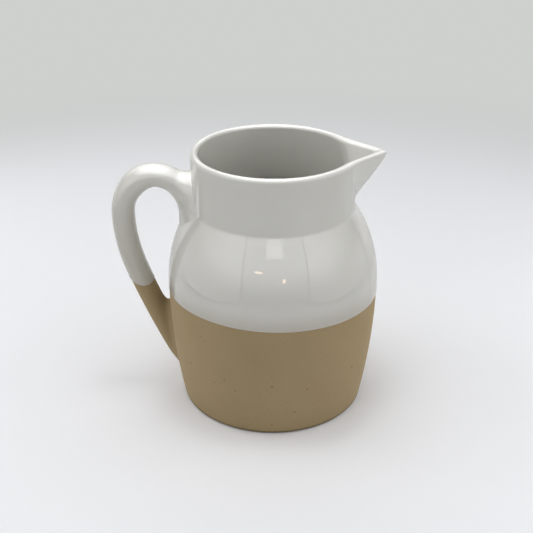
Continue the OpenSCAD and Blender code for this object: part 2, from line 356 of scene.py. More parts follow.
def belly_r(z):
    """Radius of the clay belly at a height, on its lower or its upper arc."""
    low = LOW_X + np.sqrt(LOW_R**2 - (z - BELLY_Z) ** 2)
    high = HIGH_X + np.sqrt(np.maximum(HIGH_R**2 - (z - BELLY_Z) ** 2, 0))
    return np.where(z < BELLY_Z, low, high)


def body_skin(coat, fine):
    """Rings of the body's skin. A ring is round, but where the beak is, x is the soft maximum of the round
    wall and the beak's two flanks, keel - slope * |y|, with |y| rounded off to sqrt(y^2 + rounding^2) at the
    keel. The lip spreads outwards at the beak's two roots, by a bell of the angle. The lowest rings slide up
    and down the belly with the wave of the dip line."""
    r, z, side, flat = body_profile(coat, fine)
    around = beak_columns()
    slid = z + dip_wave(around) * smooth_step(1 - (z - DIP_Z) / DIP_FADE) * (side > 0)
    r = r + belly_r(slid) - belly_r(z)
    y = r * np.sin(around)
    z = slid + POINT_LIP * smooth_step(1 - np.abs(around) / POINT_LIP_SPREAD) * flat
    rise = (z - BEAK_ROOT_Z) / (RIM_Z - BEAK_ROOT_Z)
    up = np.clip(rise, 0, 1)
    outer_share = (1 + side) / 2
    point_round = KEEL_ROUND + (POINT_ROUND - KEEL_ROUND) * up**POINT_POWER
    rounding = CHANNEL_ROUND + (point_round - CHANNEL_ROUND) * outer_share
    root_round = CHANNEL_ROUND + (KEEL_ROUND - CHANNEL_ROUND) * outer_share
    root = COLLAR_MID + side * (COLLAR_T / 2 + coat) - ROOT_BLEND + FLANK_SLOPE * root_round
    point = POINT_MID + side * (BEAK_T / 2 + coat) / FLANK_SINE
    away = FLANK_DROP * np.maximum(np.abs(around) - FLANK_END, 0) ** 2
    flank = root + rise * (point - root) - FLANK_SLOPE * np.hypot(y, rounding) - away
    x = soft_max(r * np.cos(around), flank, ROOT_BLEND + up * (RIM_BLEND - ROOT_BLEND))
    flare = LIP_FLARE * bell(np.abs(around) - LIP_FLARE_MID, LIP_FLARE_SPREAD)
    flare = flare * outer_share * smooth_step(1 - (RIM_Z - z) / LIP_FLARE_DOWN)
    x, y = x + flare * np.cos(around), y + flare * np.sin(around)
    return np.stack([x, y, z + rim_wave(around) * up**3 * (coat > 0)], -1)


def glaze_coat_rings():
    """The glaze as a thin closed shell: its hidden underside out from the floor to the dip line, then its
    face back, with twice the rows."""
    return np.concatenate([body_skin(coat=0.0, fine=1)[::-1], body_skin(coat=GLAZE_T, fine=2)[1:]])


def belly_clay_rings():
    """The thrown clay belly, one profile turned about the axis: underside, bevel, outside, crease, inside
    and floor."""
    foot_turn = np.arcsin((FOOT_BEVEL - BELLY_Z) / LOW_R)
    crease_turn = np.arctan2(SHOULDER_H, COLLAR_R - HIGH_X)
    neck_turn = np.arctan2(SHOULDER_H, MOUTH_R - INSIDE_X)
    profile = np.concatenate([
        line((HUB_R, 0), (BELLY_R - FOOT_DRAW - FOOT_BEVEL, 0), CLAY_ROWS["underside"]),
        arc((LOW_X, BELLY_Z), LOW_R, foot_turn, 0, CLAY_ROWS["low"]),
        arc((HIGH_X, BELLY_Z), HIGH_R, 0, crease_turn, CLAY_ROWS["shoulder"])[1:],
        belly_inside(0.0, neck_turn, CLAY_INSIDE_ROWS),
    ])
    around = np.linspace(-np.pi, np.pi, CLAY_COLUMNS, endpoint=False)
    r, z = profile[:, 0, None], profile[:, 1, None]
    return np.stack([r * np.cos(around), r * np.sin(around), z + 0 * around], -1)


def strap_line():
    """The handle's centreline as (distance along, x, z, facing), facing being the angle of the side away
    from the finger gap: a short straight, half an oval, a bend, a gentler bend and a tail tucked in to the
    belly. The two bends share a tangent where they meet, and the gentler one ends at the strap's foot."""
    inner_x = COLLAR_R + HANDLE_PROUD - HANDLE_T / 2
    arch_x = inner_x + ARCH_R
    outer_x = arch_x + ARCH_R
    arch_z = SHOULDER_Z - ARCH_BELOW
    foot_x = LOW_X + np.sqrt(LOW_R**2 - (BELLY_Z - HANDLE_FOOT_Z) ** 2)
    foot_in, foot_drop = outer_x - foot_x, arch_z - HANDLE_FOOT_Z
    bend_r = BEND_SHARE * (foot_in**2 + foot_drop**2) / (2 * foot_in)
    bend_reach = np.hypot(bend_r - foot_in, foot_drop)
    leg_r = LEG_SHARE * bend_r
    leg_span = leg_r - bend_r
    leg_turn = np.arccos((leg_r**2 - leg_span**2 - bend_reach**2) / (2 * leg_span * bend_reach))
    lean = np.arctan2(foot_drop, bend_r - foot_in) - leg_turn
    leg_x, leg_z = bend_r - outer_x + leg_span * np.cos(lean), arch_z + leg_span * np.sin(lean)
    foot_lean = np.arctan2(leg_z - HANDLE_FOOT_Z, leg_x + foot_x)
    tuck = (TUCK_R * np.cos(foot_lean) - foot_x, TUCK_R * np.sin(foot_lean) + HANDLE_FOOT_Z)

    over = np.linspace(0, np.pi, LINE_ROWS["arch"])
    arch = np.stack([ARCH_R * np.cos(over) - arch_x, arch_z + ARCH_H * np.sin(over)], -1)
    points = [line((-inner_x, STUB_END_Z), arch[0], LINE_ROWS["stub"])[:-1], arch]
    facing = [np.zeros(len(points[0])), np.arctan2(ARCH_R * np.sin(over), ARCH_H * np.cos(over))]
    for stretch, centre, radius, start, end in (
        ("bend", (bend_r - outer_x, arch_z), bend_r, np.pi, np.pi + lean),
        ("leg", (leg_x, leg_z), leg_r, np.pi + lean, np.pi + foot_lean),
        ("tail", tuck, TUCK_R, np.pi + foot_lean, np.pi + foot_lean + TUCK_TURN),
    ):
        points.append(arc(centre, radius, start, end, LINE_ROWS[stretch])[1:])
        facing.append(np.linspace(start, end, LINE_ROWS[stretch])[1:])
    points = np.concatenate(points)
    along = np.concatenate([[0], np.cumsum(np.hypot(*np.diff(points, axis=0).T))])
    return along, points[:, 0], points[:, 1], np.concatenate(facing)


STRAP_ALONG, STRAP_X, STRAP_Z, STRAP_FACING = strap_line()
ARCH_TOP = int(np.argmax(STRAP_Z))
SWELL_ALONG = np.interp(ARCH_SWELL_TURN, STRAP_FACING, STRAP_ALONG)


def strap_points(along, around, grow):
    """Points and outward normals of the oval strap at distances along it and angles round it:
    centre + (half thickness + grow) cos * facing + (half width + grow) sin * y, a little thicker on the
    arch's outer bend."""
    x = np.interp(along, STRAP_ALONG, STRAP_X)
    z = np.interp(along, STRAP_ALONG, STRAP_Z)
    facing = np.interp(along, STRAP_ALONG, STRAP_FACING)
    swell = ARCH_SWELL * bell(along - SWELL_ALONG, ARCH_SWELL_REACH)
    half_t, half_w = HANDLE_T / 2 + swell + grow, HANDLE_W / 2 + grow
    out = half_t * np.cos(around)
    across = half_w * np.sin(around) + 0 * x
    points = np.stack([x + out * np.cos(facing), across, z + out * np.sin(facing)], -1)
    tilt = np.cos(around) / half_t
    normals = np.stack([tilt * np.cos(facing), np.sin(around) / half_w + 0 * x, tilt * np.sin(facing)], -1)
    return points, normals / np.linalg.norm(normals, axis=-1, keepdims=True)


def collar_gap(points):
    """Distance of points outside the glazed collar."""
    return np.hypot(points[..., 0], points[..., 1]) - COLLAR_R - GLAZE_T


def belly_gap(points):
    """Distance of points outside the belly's two arcs."""
    r, z = np.hypot(points[..., 0], points[..., 1]), points[..., 2]
    low = np.hypot(r - LOW_X, z - BELLY_Z) - LOW_R
    high = np.hypot(r - HIGH_X, z - BELLY_Z) - HIGH_R
    return np.where(z < BELLY_Z, low, high)


def body_gap(points):
    """Distance of points outside the body."""
    return np.minimum(collar_gap(points), belly_gap(points))


def slope_of(gap, points):
    """Outward unit direction of a distance: its central differences along x, y and z."""
    step = 0.02
    slopes = [(gap(points + move) - gap(points - move)) / (2 * step) for move in step * np.eye(3)]
    slopes = np.stack(slopes, -1)
    return slopes / np.linalg.norm(slopes, axis=-1, keepdims=True)


def nearness(gap, reach):
    """Falls from 1 on the body to 0 at the reach: (1 - gap / reach) squared."""
    return np.clip(1 - np.maximum(gap, 0) / reach, 0, 1)[..., None] ** 2


def flared(points, normals, share, head, crotch, tail):
    """The strap spread where it meets the body, each point keeping its distance to the body: it slides along
    the body in the direction of its own normal, further to the sides than up and down, and the webs in the
    two grooves, over the strap's head and in the crotch of the finger gap, run straight up the body. The
    spread is wider on the shoulder than at the tail."""
    belly_flare = np.array(SHOULDER_FLARE) + tail[..., None] * np.subtract(BELLY_FLARE, SHOULDER_FLARE)
    collar_flare = np.broadcast_to(COLLAR_FLARE, belly_flare.shape)
    moved = points.copy()
    for gap, flare, (web_reach, web_up), web in (
        (collar_gap, collar_flare, HEAD_WEB, head),
        (belly_gap, belly_flare, CROTCH_WEB, crotch),
    ):
        reach, side, up = np.moveaxis(flare, -1, 0)
        out = slope_of(gap, points)
        along_body = normals - (normals * out).sum(-1, keepdims=True) * out
        straight_up = np.array([0, 0, 1]) - out[..., 2:] * out
        spread = share[..., None] * nearness(gap(points), reach) * np.stack([up, side, up], -1)
        moved += spread * along_body
        moved += (web_up * web)[..., None] * nearness(gap(points), web_reach) * straight_up
    return moved + slope_of(body_gap, moved) * (body_gap(points) - body_gap(moved))[..., None]


def head_share(around):
    """1 on the strap's face away from the finger gap, a tenth at its sides, 0 on the inner face."""
    return smooth_step(HEAD_LEVEL + FACE_SWING * np.cos(around))


def crotch_share(around):
    """1 on the strap's face towards the finger gap, a half at its sides, 0 on the outer face."""
    return smooth_step(CROTCH_LEVEL - FACE_SWING * np.cos(around))


def tail_share(along):
    """0 before the top of the arch, rising to 1 along the outer leg."""
    return smooth_step((along - STRAP_ALONG[ARCH_TOP]) / ARCH_R)


def crossing(along, values):
    """For each column, the distance along at which values first fall below zero, between two samples."""
    last = np.argmax(values < 0, axis=0)
    columns = np.arange(values.shape[1])
    before, after = values[last - 1, columns], values[last, columns]
    return along[last - 1] + (along[last] - along[last - 1]) * before / (before - after)


def strap_reach(around, grow):
    """Where each line along the strap sinks into the body, at its upper and at its lower end."""
    points, _ = strap_points(STRAP_ALONG[:, None], around[None, :], grow)
    depth = body_gap(points) + ROOT_SINK
    upper = crossing(STRAP_ALONG[ARCH_TOP::-1], depth[ARCH_TOP::-1])
    lower = crossing(STRAP_ALONG[ARCH_TOP:], depth[ARCH_TOP:])
    return upper, lower


def strap_dip(around):
    """Where each line along the clay strap crosses the dip line on the outer leg: highest on the outer face
    and lowest at the sides, by a cosine of once and one of twice the angle round the strap."""
    points, _ = strap_points(STRAP_ALONG[ARCH_TOP:, None], around[None, :], 0.0)
    level, once, twice = STRAP_DIP
    dip_z = DIP_Z + level + once * np.cos(around) + twice * np.cos(2 * around)
    return crossing(STRAP_ALONG[ARCH_TOP:], points[..., 2] - dip_z)


def close_ends(count):
    """Shares from 0 to 1, closer together at both ends: a share of a straight line and the rest of a half
    wave of a cosine."""
    share = np.linspace(0, 1, count)
    wave = (1 - np.cos(np.pi * share)) / 2
    return (ROW_EVEN_SHARE * share + (1 - ROW_EVEN_SHARE) * wave)[:, None]


def handle_clay_rings(around):
    """The whole clay strap from the collar to the belly, spread a little less at the top, where the glaze
    covers it."""
    upper, lower = strap_reach(around, 0.0)
    along = upper + close_ends(STRAP_ROWS) * (lower - upper)
    points, normals = strap_points(along, around, 0.0)
    tail = tail_share(along)
    share = CLAY_SPREAD_SHARE + (1 - CLAY_SPREAD_SHARE) * tail
    head = CLAY_HEAD_SHARE * head_share(around) + 0 * along
    return flared(points, normals, share, head, tail * crotch_share(around), tail)


def handle_glaze_rings(around):
    """The glaze on the strap as a closed sleeve: its face from the body to the dip line, then its underside
    back."""
    upper, _ = strap_reach(around, HANDLE_GLAZE_T)
    dip = strap_dip(around)
    head = head_share(around)
    rise = np.concatenate([
        (dip - upper - EDGE_REACH) * (1 - close_ends(SLEEVE_ROWS)) + EDGE_REACH,
        np.repeat(edge_steps()[::-1][1:, None], len(around), 1),
    ])
    full = smooth_step((rise - EDGE_REACH / 2) / EDGE_REACH)
    depth = glaze_depth(rise) * (1 - full) + HANDLE_GLAZE_T * full
    points, normals = strap_points(dip - rise, around, depth)
    none = np.zeros_like(rise)
    face = flared(points, normals, none + 1, none + head, none, tail_share(dip - rise))

    rise = (dip - upper) * np.linspace(0, 1, SLEEVE_UNDER_ROWS)[1:, None]
    points, normals = strap_points(dip - rise, around, 0.0)
    none = np.zeros_like(rise)
    share, head = none + UNDER_SPREAD_SHARE, none + UNDER_HEAD_SHARE * head
    under = flared(points, normals, share, head, none, tail_share(dip - rise))
    return np.concatenate([face, under])


def thin_glaze_and_shade_share(points):
    """How far the glaze's tone goes to a warmer, deeper one: smooth steps down to the dip line, short on the
    belly, where the glaze lies thin over the clay, and long on the strap, where it is painted shade, and down
    the inside, painted shade that deepens with depth; the inside is what lies within the middle of the wall."""
    r, z = np.hypot(points[..., 0], points[..., 1]), points[..., 2]
    thin_and_shade_up = np.where(r > BELLY_R + STRAP_CLEAR, STRAP_SHADE_UP, THIN_UP)
    outside = smooth_step(1 - (z - DIP_Z) / thin_and_shade_up)
    inside = smooth_step((LINER_SHADE_FROM_Z - z) / (LINER_SHADE_FROM_Z - LINER_SHADE_TO_Z))
    middle = np.where(z < SHOULDER_Z, belly_r(np.minimum(z, SHOULDER_Z)) - WALL_T / 2, COLLAR_MID)
    return np.where(r < middle, inside, outside)


# Meshes


def ring_faces(rings, closed):
    """Points, quads between neighbouring rings, and a fan to the middle of the first and of the last ring
    unless those two are joined."""
    rows, columns = rings.shape[:2]
    first = np.arange(rows * columns).reshape(rows, columns)
    second = np.roll(first, -1, axis=1)
    quads = np.stack([first, second, np.roll(second, -1, axis=0), np.roll(first, -1, axis=0)], -1)
    if closed:
        return rings.reshape(-1, 3), quads.reshape(-1, 4), np.empty((0, 3), int)
    points = np.concatenate([rings.reshape(-1, 3), rings[[0, -1]].mean(1)])
    ends = np.full(columns, rows * columns)
    fans = np.concatenate([
        np.stack([second[0], first[0], ends], -1),
        np.stack([first[-1], second[-1], ends + 1], -1),
    ])
    return points, quads[:-1].reshape(-1, 4), fans


def mesh_object(name, points, faces, material):
    """An object at the origin, with a mesh of points in millimetres."""
    mesh = bpy.data.meshes.new(name)
    mesh.from_pydata(points * MM, [], faces)
    mesh.materials.append(material)
    made = bpy.data.objects.new(name, mesh)
    bpy.context.scene.collection.objects.link(made)
    return made


def new_piece(name, rings, material, closed=False):
    """A closed smooth mesh from rings of points, its faces turned outwards by the sign of the volume inside,
    with the share of the glaze's warm, deep tone at each point: thin glaze by the dip line, painted shade on
    the strap and deep inside."""
    points, quads, fans = ring_faces(rings, closed)
    triangles = points[np.concatenate([quads[:, :3], quads[:, [0, 2, 3]], fans])]
    volume = np.einsum("ij,ij->i", triangles[:, 0], np.cross(triangles[:, 1], triangles[:, 2])).sum()
    turn = 1 if volume > 0 else -1
    piece = mesh_object(name, points, quads[:, ::turn].tolist() + fans[:, ::turn].tolist(), material)
    mesh = piece.data
    mesh.polygons.foreach_set("use_smooth", np.ones(len(mesh.polygons), bool))
    mesh.set_sharp_from_angle(angle=SHARP_FROM)
    # Share of the glaze's warm, deep tone: thin glaze by the dip line, painted shade on the strap and deep
    # inside
    thin = mesh.attributes.new("thin", "FLOAT", "POINT")
    thin.data.foreach_set("value", thin_glaze_and_shade_share(points).astype(np.float32))
    return piece


# Materials

# Sizes and depths of the patterns, in millimetres
GLAZE_CLOUD = 45
GLAZE_SWIM = 14
GLAZE_SWIM_DEPTH = 0.02
CLAY_CLOUD = 30
CLAY_GRAIN = 0.9
CLAY_GRAIN_DEPTH = 0.15
# Heights over the floor where the painted shade under the foot begins and where it is full
FOOT_SHADE_TOP_Z = 3.6
FOOT_SHADE_FULL_Z = 0.8
# Layers of specks: (distance apart in millimetres, share without a speck, largest radius as a share of the
# distance apart, strength)
GLAZE_SPECKS = ((11, 0.7, 0.04, 1.0),)
CLAY_SPECKS = ((4, 0.75, 0.07, 0.5), (8, 0.45, 0.11, 0.6))


def srgb(code):
    """Linear red, green, blue and alpha of an sRGB hex colour."""
    parts = np.array([int(code[i:i + 2], 16) for i in (1, 3, 5)]) / 255
    linear = np.where(parts <= 0.04045, parts / 12.92, ((parts + 0.055) / 1.055) ** 2.4)
    return (*linear.tolist(), 1.0)


def add(tree, kind, inputs=None, **settings):
    """One node with its settings; each input is a value or the socket that feeds it."""
    made = tree.nodes.new(kind)
    for name, value in settings.items():
        setattr(made, name, value)
    for key, value in (inputs or {}).items():
        if isinstance(value, bpy.types.NodeSocket):
            tree.links.new(value, made.inputs[key])
        else:
            made.inputs[key].default_value = value
    return made


def per_mm(size):
    """Texture scale in object coordinates, which are metres, for one feature per size in millimetres."""
    return 1 / (size * MM)


def new_material(name):
    """An empty node material, its tree and its object coordinates."""
    material = bpy.data.materials.new(name)
    material.use_nodes = True
    tree = material.node_tree
    tree.nodes.clear()
    place = add(tree, "ShaderNodeTexCoord").outputs["Object"]
    return material, tree, place


def speckled(tree, place, colour, layers, dark):
    """A colour with layers of round iron specks of many sizes, each in the middle of its own cell."""
    for apart, bare, widest, strength in layers:
        cells = add(tree, "ShaderNodeTexVoronoi", {"Vector": place, "Scale": per_mm(apart)})
        pick = add(tree, "ShaderNodeSeparateColor", {"Color": cells.outputs["Color"]})
        size = add(
            tree, "ShaderNodeMapRange", {"Value": pick.outputs["Red"], "From Min": bare, "To Max": widest}
        )
        speck = add(
            tree, "ShaderNodeMath", {0: cells.outputs["Distance"], 1: size.outputs["Result"]},
            operation="LESS_THAN",
        )
        share = add(tree, "ShaderNodeMath", {0: speck.outputs["Value"], 1: strength}, operation="MULTIPLY")
        colour = add(
            tree, "ShaderNodeMix", {0: share.outputs["Value"], 6: colour, 7: srgb(dark)}, data_type="RGBA"
        ).outputs[2]
    return colour


def white_glaze():
    """Glossy opaque white stoneware glaze: even cool white, faintly cloudy where it lies thicker, a surface
    that is not quite flat, so that reflections swim a little, a few iron specks, and a warmer, deeper tone
    close to the dip line, where it lies thin over the clay, which goes on as painted shade down the strap and
    deep inside."""
    material, tree, place = new_material("glossy_white_glaze")
    cloud = add(tree, "ShaderNodeTexNoise", {"Vector": place, "Scale": per_mm(GLAZE_CLOUD), "Detail": 2.0})
    thick = add(
        tree, "ShaderNodeMix",
        {0: cloud.outputs["Fac"], 6: srgb("#C1C0BA"), 7: srgb("#C5C4BE")}, data_type="RGBA",
    )
    # Warm, deep tone: thin glaze by the dip line, painted shade on the strap and deep inside
    thin = add(tree, "ShaderNodeAttribute", attribute_name="thin")
    tone = add(
        tree, "ShaderNodeMix",
        {0: thin.outputs["Fac"], 6: thick.outputs[2], 7: srgb("#B0ACA2")}, data_type="RGBA",
    )
    colour = speckled(tree, place, tone.outputs[2], GLAZE_SPECKS, "#9C968B")
    swim = add(tree, "ShaderNodeTexNoise", {"Vector": place, "Scale": per_mm(GLAZE_SWIM), "Detail": 1.0})
    bump = add(
        tree, "ShaderNodeBump",
        {"Height": swim.outputs["Fac"], "Distance": GLAZE_SWIM_DEPTH * MM, "Strength": 0.5},
    )
    shader = add(
        tree, "ShaderNodeBsdfPrincipled",
        {"Base Color": colour, "Roughness": 0.02, "IOR": 1.6, "Normal": bump.outputs["Normal"]},
    )
    add(tree, "ShaderNodeOutputMaterial", {"Surface": shader.outputs["BSDF"]})
    return material


def bare_clay(name, light, dark):
    """Unglazed fired stoneware, wiped smooth: dry and matt, an even buff with fine grog, a few darker iron
    specks, a dark line of painted shade at the edge of the foot, where its contact shadow falls, and a grain
    that is drawn coarser than its real fifth of a millimetre, so that it shows."""
    material, tree, place = new_material(name)
    cloud = add(tree, "ShaderNodeTexNoise", {"Vector": place, "Scale": per_mm(CLAY_CLOUD), "Detail": 3.0})
    grain = add(tree, "ShaderNodeTexNoise", {"Vector": place, "Scale": per_mm(CLAY_GRAIN), "Detail": 3.0})
    blend = add(
        tree, "ShaderNodeMix", {0: 0.6, 2: cloud.outputs["Fac"], 3: grain.outputs["Fac"]}, data_type="FLOAT"
    )
    spread = add(
        tree, "ShaderNodeMapRange", {"Value": blend.outputs[0], "From Min": 0.3, "From Max": 0.7}
    )
    tone = add(
        tree, "ShaderNodeMix",
        {0: spread.outputs["Result"], 6: srgb(dark), 7: srgb(light)}, data_type="RGBA",
    )
    colour = speckled(tree, place, tone.outputs[2], CLAY_SPECKS, "#6E5A3C")
    # Painted shade: the clay darkens to a deep brown in the last few millimetres above the floor, standing in
    # for the contact shadow under the foot
    height = add(tree, "ShaderNodeSeparateXYZ", {"Vector": place})
    foot_shade = add(
        tree, "ShaderNodeMapRange",
        {"Value": height.outputs["Z"], "From Min": FOOT_SHADE_TOP_Z * MM, "From Max": FOOT_SHADE_FULL_Z * MM,
         "To Max": 0.9},
        interpolation_type="SMOOTHSTEP",
    )
    foot_shaded = add(
        tree, "ShaderNodeMix",
        {0: foot_shade.outputs["Result"], 6: colour, 7: srgb("#463A28")}, data_type="RGBA",
    )
    bump = add(
        tree, "ShaderNodeBump",
        {"Height": grain.outputs["Fac"], "Distance": CLAY_GRAIN_DEPTH * MM, "Strength": 0.35},
    )
    shader = add(
        tree, "ShaderNodeBsdfPrincipled",
        {"Base Color": foot_shaded.outputs[2], "Roughness": 0.85, "Specular IOR Level": 0.3,
         "Normal": bump.outputs["Normal"]},
    )
    add(tree, "ShaderNodeOutputMaterial", {"Surface": shader.outputs["BSDF"]})
    return material


# Pieces


def dress_jug():
    """The jug's own pieces: clay belly and handle, and the glaze that covers their upper half and the
    inside."""
    glaze = white_glaze()
    clay = bare_clay("bare_buff_stoneware", "#978565", "#8D7B5B")
    slip = bare_clay("fired_joining_slip", "#A2917A", "#94836A")
    around = np.linspace(-np.pi, np.pi, STRAP_COLUMNS, endpoint=False)
    made = (
        (new_piece("belly_clay", belly_clay_rings(), clay), "clay", ["belly"]),
        (new_piece("handle_clay", handle_clay_rings(around), clay), "clay", ["handle", "lower_handle_slip"]),
        (new_piece("body_glaze_coat", glaze_coat_rings(), glaze), "glaze",
         ["belly_glaze", "collar_glaze", "beak_glaze", "liner_glaze"]),
        (new_piece("handle_glaze_coat", handle_glaze_rings(around), glaze, closed=True), "glaze",
         ["handle_glaze"]),
    )
    for piece, slot, nodes in made:
        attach(piece, "root")
        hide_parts(*nodes)
    for node, material in (
        ("collar", clay), ("beak", clay),
        ("shoulder_slip", slip), ("beak_slip", slip), ("upper_handle_slip", slip),
    ):
        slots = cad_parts[node].data.materials
        slots.clear()
        slots.append(material)


# Studio

CAMERA_AT = (0.0, -0.59523, 0.40223)
CAMERA_PITCH = 0.472211
CAMERA_TURN = 0.0077037
CAMERA_ROLL = 0.002486
CAMERA_LENS = 62.87
CAMERA_SENSOR = 36.0

# Paper floor: where it fades to haze for the eye, and where it is cut away for gloss
HAZE = "#CED0CE"
FLOOR_R = 4.0
FLOOR_HUB_SHARE = 0.02
FLOOR_ROWS = 24
FLOOR_COLUMNS = 64
FADE_FROM_R = 0.45
FADE_TO_R = 0.85
CUT_FROM_R = 0.2
CUT_TO_R = 0.42

# Lamps: name, place, turns about X and then Z, size, power in watts, whether gloss sees it
LAMPS = (
    ("top_lamp", (0.0, 0.0, 0.7), (0.0, 0.0), (0.15, 0.15), 0.52, True),
    ("left_high", (-0.55, 0.0, 0.65), (np.pi / 4, -np.pi / 2), (0.4, 0.4), 0.92, False),
    ("left_back", (-0.56, 0.26, 0.35), (1.15, -2.0), (0.5, 0.4), 0.5, False),
    ("right_low", (0.6, 0.0, 0.35), (1.15, np.pi / 2), (0.5, 0.4), 1.05, False),
    ("back_high", (0.0, 0.5, 0.75), (-0.66, 0.0), (0.6, 0.4), 0.82, False),
    ("left_front", (-0.5, -0.5, 0.45), (1.05, -np.pi / 4), (0.5, 0.4), 0.86, False),
    ("right_front", (0.5, -0.5, 0.45), (1.05, np.pi / 4), (0.5, 0.4), 0.72, False),
)

# Quiet light from all round, for all that isn't gloss
FILL_GLOW = 0.4

# Light tent that only gloss sees. A turn is an angle from the front, a height the sine of an angle above
# level, a glow a strength. A ramp goes from one turn or height to another, and from one result to another.
WALL_GLOW_BY_HEIGHT = {"From Min": -0.2, "From Max": 0.4, "To Min": 1.0, "To Max": 3.4}
WALL_DIM_BY_TURN = {"From Min": 0.9, "From Max": 2.1, "To Min": 1.0}
BACK_DIM_BY_HEIGHT = {"From Min": -0.1, "From Max": 0.1, "To Min": 1.0, "To Max": 0.35}
TOP_GLOW_BY_HEIGHT = {"From Min": 0.6, "From Max": 0.95, "To Max": 7.0}
BACK_GLOW_BY_TURN = {"From Min": 1.6, "From Max": 2.4, "To Max": 3.0}
BACK_SHARE_BY_HEIGHT = {"From Min": 0.25, "From Max": 0.5}
# Seams: (turn at level, splay upwards, half the width)
SEAMS = ((-0.583, -0.2, 0.01), (0.675, 0.2, 0.01), (2.17, 0.0, 0.025))
SEAM_EDGE_SHARE = 0.4
SEAM_DIM = 0.3
# Hem where the walls meet the ground
HEM_HEIGHT_BY_TURN = {"From Min": 0.6, "From Max": 1.1, "To Min": -0.175, "To Max": -0.27}
HEM_BLUR_BY_TURN = {"From Min": 1.6, "From Max": 2.1, "To Min": 0.005, "To Max": 0.15}
HEM_FRONT_END = {"From Min": 0.59, "From Max": 0.67, "To Min": 1.0, "To Max": 0.0}
HEM_BACK_END = {"From Min": 1.7, "From Max": 2.1}
HEM_LINE = {"From Min": 0.006, "From Max": 0.016}
GROUND_GLOW_BY_TURN = {"From Min": 0.7, "From Max": 1.5, "To Min": 1.0, "To Max": 0.5}
# Patches: (middle turn, half the width, middle height, half the height, soft edge), and their glow
FRONT_PATCHES = (((0.046, 0.63, 0.0, 0.7, 0.02), -0.3), ((0.04, 0.19, 0.58, 0.08, 0.02), 1.7))
CORNER_STRIP = (-2.27, 0.06, -0.55, 0.22, 0.03)
CORNER_STRIP_GLOW = 0.55
WARM_LAMPS = ((-0.28, 0.08, 0.3, 0.014, 0.012), (0.213, 0.03, 0.186, 0.03, 0.012))
WARM_GLOW = 8.0


def floor_material():
    """Seamless paper: pale round the jug, a quiet grey further off for the eye. Further off gloss sees
    through it to the tent in the world."""
    material, tree, place = new_material("seamless_paper")
    path = add(tree, "ShaderNodeLightPath")
    far = add(tree, "ShaderNodeVectorMath", {0: place}, operation="LENGTH")
    share = add(
        tree, "ShaderNodeMapRange",
        {"Value": far.outputs["Value"], "From Min": FADE_FROM_R, "From Max": FADE_TO_R},
        interpolation_type="SMOOTHSTEP",
    )
    faded = add(
        tree, "ShaderNodeMath", {0: share.outputs["Result"], 1: path.outputs["Is Camera Ray"]},
        operation="MULTIPLY",
    )
    paper = add(
        tree, "ShaderNodeBsdfPrincipled",
        {"Base Color": srgb("#F6F7FA"), "Roughness": 0.95, "Specular IOR Level": 0.1},
    )
    haze = add(tree, "ShaderNodeEmission", {"Color": srgb(HAZE)})
    seen = add(
        tree, "ShaderNodeMixShader",
        {0: faded.outputs["Value"], 1: paper.outputs["BSDF"], 2: haze.outputs["Emission"]},
    )
    clear = add(tree, "ShaderNodeBsdfTransparent")
    cut = add(
        tree, "ShaderNodeMapRange",
        {"Value": far.outputs["Value"], "From Min": CUT_FROM_R, "From Max": CUT_TO_R,
         "To Max": path.outputs["Is Glossy Ray"]},
    )
    surface = add(
        tree, "ShaderNodeMixShader",
        {0: cut.outputs["Result"], 1: seen.outputs["Shader"], 2: clear.outputs["BSDF"]},
    )
    add(tree, "ShaderNodeOutputMaterial", {"Surface": surface.outputs["Shader"]})
    return material


def make_floor():
    """A flat disc of paper under the jug, in rings whose radius grows with the square of their number."""
    around = np.linspace(0, 2 * np.pi, FLOOR_COLUMNS, endpoint=False)
    r = FLOOR_R / MM * np.linspace(FLOOR_HUB_SHARE, 1, FLOOR_ROWS)[:, None] ** 2
    rings = np.stack([r * np.cos(around), r * np.sin(around), np.zeros_like(r * around)], -1)
    points, quads, fans = ring_faces(rings, False)
    faces = quads.tolist() + fans[:FLOOR_COLUMNS].tolist()
    floor = mesh_object("floor", points[:-1], faces, floor_material())


def soft_box(name, place, turn, size, power, shows):
    """A rectangular lamp, turned about X and then about Z. Only one that shows is seen in gloss."""
    lamp = bpy.data.lights.new(name, "AREA")
    lamp.shape = "RECTANGLE"
    lamp.size, lamp.size_y = size
    lamp.energy = power
    stand = bpy.data.objects.new(name, lamp)
    stand.visible_glossy = shows
    stand.matrix_world = (
        Matrix.Translation(place) @ Matrix.Rotation(turn[1], 4, "Z") @ Matrix.Rotation(turn[0], 4, "X")
    )
    bpy.context.scene.collection.objects.link(stand)


def tent_directions(tree):
    """Where a ray points: its turn from the front, the size of that turn to either side, and its height."""
    ray = add(tree, "ShaderNodeSeparateXYZ", {"Vector": add(tree, "ShaderNodeTexCoord").outputs["Generated"]})
    ahead = add(tree, "ShaderNodeMath", {0: ray.outputs["Y"], 1: -1.0}, operation="MULTIPLY")
    turn = add(
        tree, "ShaderNodeMath", {0: ray.outputs["X"], 1: ahead.outputs["Value"]}, operation="ARCTAN2"
    )
    around = add(tree, "ShaderNodeMath", {0: turn.outputs["Value"]}, operation="ABSOLUTE")
    return turn.outputs["Value"], around.outputs["Value"], ray.outputs["Z"]


def tent_patch(tree, turn, height, patch):
    """A soft-edged patch of the tent: 1 within its width and height, 0 outside."""
    middle_turn, half_turn, middle_height, half_height, edge = patch
    masks = []
    for value, middle, half in ((turn, middle_turn, half_turn), (height, middle_height, half_height)):
        off = add(tree, "ShaderNodeMath", {0: value, 1: middle}, operation="SUBTRACT")
        off = add(tree, "ShaderNodeMath", {0: off.outputs["Value"]}, operation="ABSOLUTE")
        masks.append(add(
            tree, "ShaderNodeMapRange",
            {"Value": off.outputs["Value"], "From Min": half + edge, "From Max": half - edge},
            interpolation_type="SMOOTHSTEP",
        ).outputs["Result"])
    return add(tree, "ShaderNodeMath", {0: masks[0], 1: masks[1]}, operation="MULTIPLY").outputs["Value"]


